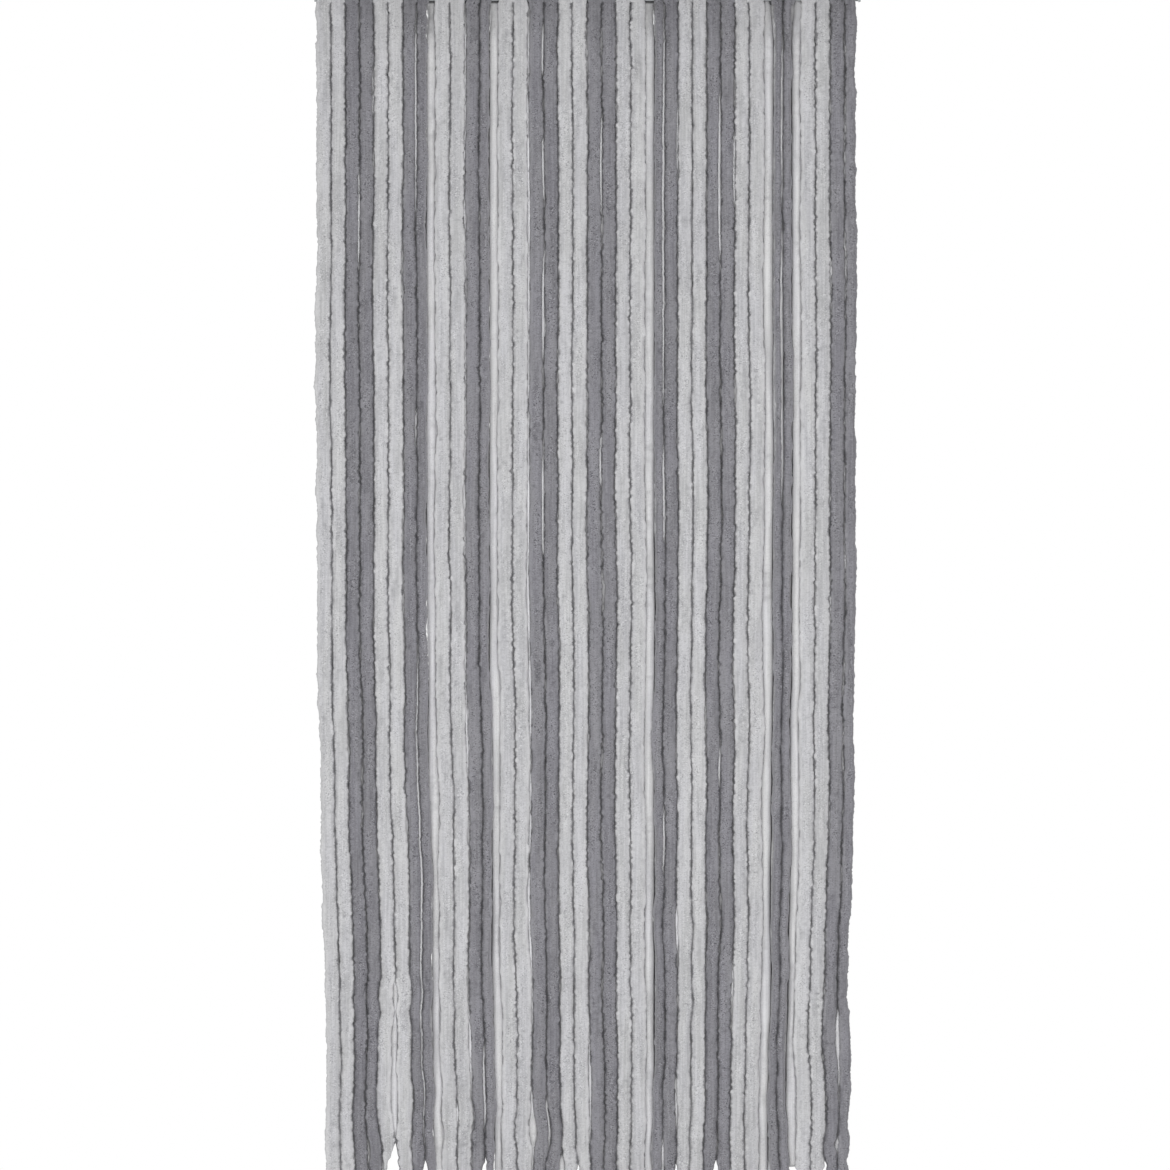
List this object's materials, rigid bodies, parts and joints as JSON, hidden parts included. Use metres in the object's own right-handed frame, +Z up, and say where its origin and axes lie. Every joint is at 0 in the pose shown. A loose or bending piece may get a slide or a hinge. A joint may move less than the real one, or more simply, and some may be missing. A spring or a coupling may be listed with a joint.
{
  "type": "chenille fly curtain",
  "caption": "Door fly curtain of folded chenille strands in alternating light and dark grey, hung in rows on wires under an aluminium rail.",
  "frame": {"origin": "middle of the rail's flat top face, which is screwed up under the lintel", "axes": "+Z up, out of the rail's top face; X along the width of the doorway; the front row of the curtain faces -Y"},
  "size_m": [0.9102, 0.0523, 2.0074],
  "materials": {
    "rail": "satin anodised",
    "end_cap": "fine matt grain",
    "wire": "bright drawn",
    "light_chenille": "soft cut pile",
    "dark_chenille": "soft cut pile",
    "pale_chenille": "soft cut pile"
  },
  "bodies": {
    "rail_with_wires": {"rail": "rail", "end_cap_left": "end_cap", "end_cap_right": "end_cap", "front_wire": "wire", "rear_wire": "wire"},
    "front_cord_01": {"front_cord_01_light": "light_chenille"},
    "front_cord_02": {"front_cord_02_dark": "dark_chenille"},
    "front_cord_03": {"front_cord_03_light": "light_chenille"},
    "front_cord_04": {"front_cord_04_dark": "dark_chenille"},
    "front_cord_05": {"front_cord_05_light": "light_chenille"},
    "front_cord_06": {"front_cord_06_dark": "dark_chenille"},
    "front_cord_07": {"front_cord_07_light": "light_chenille"},
    "front_cord_08": {"front_cord_08_dark": "dark_chenille"},
    "front_cord_09": {"front_cord_09_light": "light_chenille"},
    "front_cord_10": {"front_cord_10_dark": "dark_chenille"},
    "front_cord_11": {"front_cord_11_light": "light_chenille"},
    "front_cord_12": {"front_cord_12_dark": "dark_chenille"},
    "front_cord_13": {"front_cord_13_light": "light_chenille"},
    "front_cord_14": {"front_cord_14_dark": "dark_chenille"},
    "front_cord_15": {"front_cord_15_light": "light_chenille"},
    "front_cord_16": {"front_cord_16_dark": "dark_chenille"},
    "front_cord_17": {"front_cord_17_light": "light_chenille"},
    "front_cord_18": {"front_cord_18_dark": "dark_chenille"},
    "rear_cord_01": {"rear_cord_01_pale": "pale_chenille"},
    "rear_cord_02": {"rear_cord_02_pale": "pale_chenille"},
    "rear_cord_03": {"rear_cord_03_pale": "pale_chenille"},
    "rear_cord_04": {"rear_cord_04_pale": "pale_chenille"},
    "rear_cord_05": {"rear_cord_05_pale": "pale_chenille"},
    "rear_cord_06": {"rear_cord_06_pale": "pale_chenille"},
    "rear_cord_07": {"rear_cord_07_pale": "pale_chenille"},
    "rear_cord_08": {"rear_cord_08_pale": "pale_chenille"},
    "rear_cord_09": {"rear_cord_09_pale": "pale_chenille"},
    "rear_cord_10": {"rear_cord_10_pale": "pale_chenille"},
    "rear_cord_11": {"rear_cord_11_pale": "pale_chenille"},
    "rear_cord_12": {"rear_cord_12_pale": "pale_chenille"},
    "rear_cord_13": {"rear_cord_13_pale": "pale_chenille"},
    "rear_cord_14": {"rear_cord_14_pale": "pale_chenille"},
    "rear_cord_15": {"rear_cord_15_pale": "pale_chenille"},
    "rear_cord_16": {"rear_cord_16_pale": "pale_chenille"},
    "rear_cord_17": {"rear_cord_17_pale": "pale_chenille"},
    "rear_cord_18": {"rear_cord_18_pale": "pale_chenille"}
  },
  "joints": [
    {"name": "front_cord_01_swing", "type": "hinge", "parent": "rail_with_wires", "child": "front_cord_01", "pos_m": [-0.42707, -0.01406, -0.01576], "axis": [-1, 0, 0], "range_deg": [0, 75]},
    {"name": "front_cord_02_swing", "type": "hinge", "parent": "rail_with_wires", "child": "front_cord_02", "pos_m": [-0.37957, -0.01406, -0.01576], "axis": [-1, 0, 0], "range_deg": [0, 75]},
    {"name": "front_cord_03_swing", "type": "hinge", "parent": "rail_with_wires", "child": "front_cord_03", "pos_m": [-0.33207, -0.01406, -0.01576], "axis": [-1, 0, 0], "range_deg": [0, 75]},
    {"name": "front_cord_04_swing", "type": "hinge", "parent": "rail_with_wires", "child": "front_cord_04", "pos_m": [-0.28281, -0.01406, -0.01576], "axis": [-1, 0, 0], "range_deg": [0, 75]},
    {"name": "front_cord_05_swing", "type": "hinge", "parent": "rail_with_wires", "child": "front_cord_05", "pos_m": [-0.22915, -0.01406, -0.01576], "axis": [-1, 0, 0], "range_deg": [0, 75]},
    {"name": "front_cord_06_swing", "type": "hinge", "parent": "rail_with_wires", "child": "front_cord_06", "pos_m": [-0.17857, -0.01406, -0.01576], "axis": [-1, 0, 0], "range_deg": [0, 75]},
    {"name": "front_cord_07_swing", "type": "hinge", "parent": "rail_with_wires", "child": "front_cord_07", "pos_m": [-0.12447, -0.01406, -0.01576], "axis": [-1, 0, 0], "range_deg": [0, 75]},
    {"name": "front_cord_08_swing", "type": "hinge", "parent": "rail_with_wires", "child": "front_cord_08", "pos_m": [-0.07257, -0.01406, -0.01576], "axis": [-1, 0, 0], "range_deg": [0, 75]},
    {"name": "front_cord_09_swing", "type": "hinge", "parent": "rail_with_wires", "child": "front_cord_09", "pos_m": [-0.02507, -0.01406, -0.01576], "axis": [-1, 0, 0], "range_deg": [0, 75]},
    {"name": "front_cord_10_swing", "type": "hinge", "parent": "rail_with_wires", "child": "front_cord_10", "pos_m": [0.02375, -0.01406, -0.01576], "axis": [-1, 0, 0], "range_deg": [0, 75]},
    {"name": "front_cord_11_swing", "type": "hinge", "parent": "rail_with_wires", "child": "front_cord_11", "pos_m": [0.07125, -0.01406, -0.01576], "axis": [-1, 0, 0], "range_deg": [0, 75]},
    {"name": "front_cord_12_swing", "type": "hinge", "parent": "rail_with_wires", "child": "front_cord_12", "pos_m": [0.12667, -0.01406, -0.01576], "axis": [-1, 0, 0], "range_deg": [0, 75]},
    {"name": "front_cord_13_swing", "type": "hinge", "parent": "rail_with_wires", "child": "front_cord_13", "pos_m": [0.17417, -0.01406, -0.01576], "axis": [-1, 0, 0], "range_deg": [0, 75]},
    {"name": "front_cord_14_swing", "type": "hinge", "parent": "rail_with_wires", "child": "front_cord_14", "pos_m": [0.22167, -0.01406, -0.01576], "axis": [-1, 0, 0], "range_deg": [0, 75]},
    {"name": "front_cord_15_swing", "type": "hinge", "parent": "rail_with_wires", "child": "front_cord_15", "pos_m": [0.26917, -0.01406, -0.01576], "axis": [-1, 0, 0], "range_deg": [0, 75]},
    {"name": "front_cord_16_swing", "type": "hinge", "parent": "rail_with_wires", "child": "front_cord_16", "pos_m": [0.32547, -0.01406, -0.01576], "axis": [-1, 0, 0], "range_deg": [0, 75]},
    {"name": "front_cord_17_swing", "type": "hinge", "parent": "rail_with_wires", "child": "front_cord_17", "pos_m": [0.37957, -0.01406, -0.01576], "axis": [-1, 0, 0], "range_deg": [0, 75]},
    {"name": "front_cord_18_swing", "type": "hinge", "parent": "rail_with_wires", "child": "front_cord_18", "pos_m": [0.42707, -0.01406, -0.01576], "axis": [-1, 0, 0], "range_deg": [0, 75]},
    {"name": "rear_cord_01_swing", "type": "hinge", "parent": "rail_with_wires", "child": "rear_cord_01", "pos_m": [-0.42113, 0.01406, -0.01576], "axis": [1, 0, 0], "range_deg": [0, 75]},
    {"name": "rear_cord_02_swing", "type": "hinge", "parent": "rail_with_wires", "child": "rear_cord_02", "pos_m": [-0.37363, 0.01406, -0.01576], "axis": [1, 0, 0], "range_deg": [0, 75]},
    {"name": "rear_cord_03_swing", "type": "hinge", "parent": "rail_with_wires", "child": "rear_cord_03", "pos_m": [-0.31535, 0.01406, -0.01576], "axis": [1, 0, 0], "range_deg": [0, 75]},
    {"name": "rear_cord_04_swing", "type": "hinge", "parent": "rail_with_wires", "child": "rear_cord_04", "pos_m": [-0.26785, 0.01406, -0.01576], "axis": [1, 0, 0], "range_deg": [0, 75]},
    {"name": "rear_cord_05_swing", "type": "hinge", "parent": "rail_with_wires", "child": "rear_cord_05", "pos_m": [-0.22035, 0.01406, -0.01576], "axis": [1, 0, 0], "range_deg": [0, 75]},
    {"name": "rear_cord_06_swing", "type": "hinge", "parent": "rail_with_wires", "child": "rear_cord_06", "pos_m": [-0.16317, 0.01406, -0.01576], "axis": [1, 0, 0], "range_deg": [0, 75]},
    {"name": "rear_cord_07_swing", "type": "hinge", "parent": "rail_with_wires", "child": "rear_cord_07", "pos_m": [-0.11017, 0.01406, -0.01576], "axis": [1, 0, 0], "range_deg": [0, 75]},
    {"name": "rear_cord_08_swing", "type": "hinge", "parent": "rail_with_wires", "child": "rear_cord_08", "pos_m": [-0.06267, 0.01406, -0.01576], "axis": [1, 0, 0], "range_deg": [0, 75]},
    {"name": "rear_cord_09_swing", "type": "hinge", "parent": "rail_with_wires", "child": "rear_cord_09", "pos_m": [-0.01517, 0.01406, -0.01576], "axis": [1, 0, 0], "range_deg": [0, 75]},
    {"name": "rear_cord_10_swing", "type": "hinge", "parent": "rail_with_wires", "child": "rear_cord_10", "pos_m": [0.03233, 0.01406, -0.01576], "axis": [1, 0, 0], "range_deg": [0, 75]},
    {"name": "rear_cord_11_swing", "type": "hinge", "parent": "rail_with_wires", "child": "rear_cord_11", "pos_m": [0.08643, 0.01406, -0.01576], "axis": [1, 0, 0], "range_deg": [0, 75]},
    {"name": "rear_cord_12_swing", "type": "hinge", "parent": "rail_with_wires", "child": "rear_cord_12", "pos_m": [0.13393, 0.01406, -0.01576], "axis": [1, 0, 0], "range_deg": [0, 75]},
    {"name": "rear_cord_13_swing", "type": "hinge", "parent": "rail_with_wires", "child": "rear_cord_13", "pos_m": [0.18143, 0.01406, -0.01576], "axis": [1, 0, 0], "range_deg": [0, 75]},
    {"name": "rear_cord_14_swing", "type": "hinge", "parent": "rail_with_wires", "child": "rear_cord_14", "pos_m": [0.22893, 0.01406, -0.01576], "axis": [1, 0, 0], "range_deg": [0, 75]},
    {"name": "rear_cord_15_swing", "type": "hinge", "parent": "rail_with_wires", "child": "rear_cord_15", "pos_m": [0.27643, 0.01406, -0.01576], "axis": [1, 0, 0], "range_deg": [0, 75]},
    {"name": "rear_cord_16_swing", "type": "hinge", "parent": "rail_with_wires", "child": "rear_cord_16", "pos_m": [0.32393, 0.01406, -0.01576], "axis": [1, 0, 0], "range_deg": [0, 75]},
    {"name": "rear_cord_17_swing", "type": "hinge", "parent": "rail_with_wires", "child": "rear_cord_17", "pos_m": [0.37143, 0.01406, -0.01576], "axis": [1, 0, 0], "range_deg": [0, 75]},
    {"name": "rear_cord_18_swing", "type": "hinge", "parent": "rail_with_wires", "child": "rear_cord_18", "pos_m": [0.42113, 0.01406, -0.01576], "axis": [1, 0, 0], "range_deg": [0, 75]}
  ]
}
